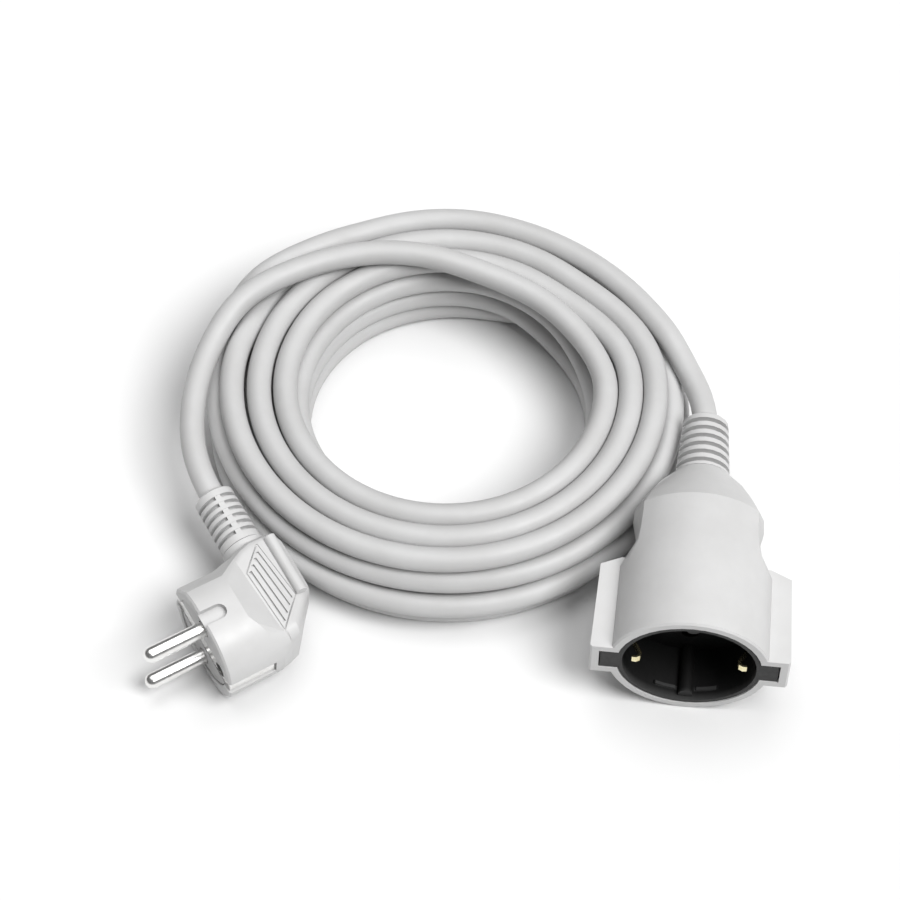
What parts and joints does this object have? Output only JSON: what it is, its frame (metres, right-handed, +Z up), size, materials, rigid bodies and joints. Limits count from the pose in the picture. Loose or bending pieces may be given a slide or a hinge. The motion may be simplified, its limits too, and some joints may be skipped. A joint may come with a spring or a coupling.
{
  "type": "extension cord",
  "caption": "Household extension cord: angled earthed plug, wound round cord and inline earthed socket, moulded in pale PVC.",
  "frame": {"origin": "bottom centre of the box round the plug and the inline socket, on the surface they lie on, with the wound cord between and behind them", "axes": "+X from the plug towards the inline socket, +Y from the socket's mouth towards its cord, +Z up"},
  "size_m": [0.1901, 0.1796, 0.0475],
  "materials": {
    "shell": "satin moulded PVC",
    "cord": "satin extruded PVC",
    "insert": "satin black",
    "bridge": "satin",
    "nickel": "nickel plated brass",
    "brass": "bare sprung brass",
    "crimp": "bare copper alloy",
    "core_brown": "insulated core",
    "core_blue": "insulated core",
    "core_earth": "insulated core"
  },
  "bodies": {
    "lead": {"plug_body": "shell", "plug_pin_bridge": "bridge", "pin_live": "nickel", "pin_neutral": "nickel", "plug_earth_strip": "nickel", "plug_crimp_live": "crimp", "plug_crimp_neutral": "crimp", "plug_crimp_earth": "crimp", "plug_lead_live": "core_brown", "plug_lead_neutral": "core_blue", "plug_lead_earth": "core_earth", "plug_strain_relief": "shell", "cord_end_plug": "cord", "cord_run_plug": "cord", "cord_coil": "cord", "cord_run_coupler": "cord", "coupler_housing": "shell", "coupler_strain_relief": "shell", "socket_insert": "insert", "insert_rear_cover": "insert", "socket_contact_live": "brass", "socket_contact_neutral": "brass", "earth_bridge": "brass", "coupler_crimp_live": "crimp", "coupler_crimp_neutral": "crimp", "coupler_crimp_earth": "crimp", "coupler_lead_live": "core_brown", "coupler_lead_neutral": "core_blue", "coupler_lead_earth": "core_earth", "cord_end_coupler": "cord"},
    "left_clip": {"earth_clip_left": "brass"},
    "right_clip": {"earth_clip_right": "brass"}
  },
  "joints": [
    {"name": "left_clip_spring", "type": "hinge", "parent": "lead", "child": "left_clip", "pos_m": [0.04648, -0.01236, 0.02375], "axis": [0, 0, 1], "range_deg": [-6, 0], "stiffness_Nm_per_rad": 0.2},
    {"name": "right_clip_spring", "type": "hinge", "parent": "lead", "child": "right_clip", "pos_m": [0.08368, -0.01236, 0.02375], "axis": [0, 0, 1], "range_deg": [0, 6], "stiffness_Nm_per_rad": 0.2}
  ]
}
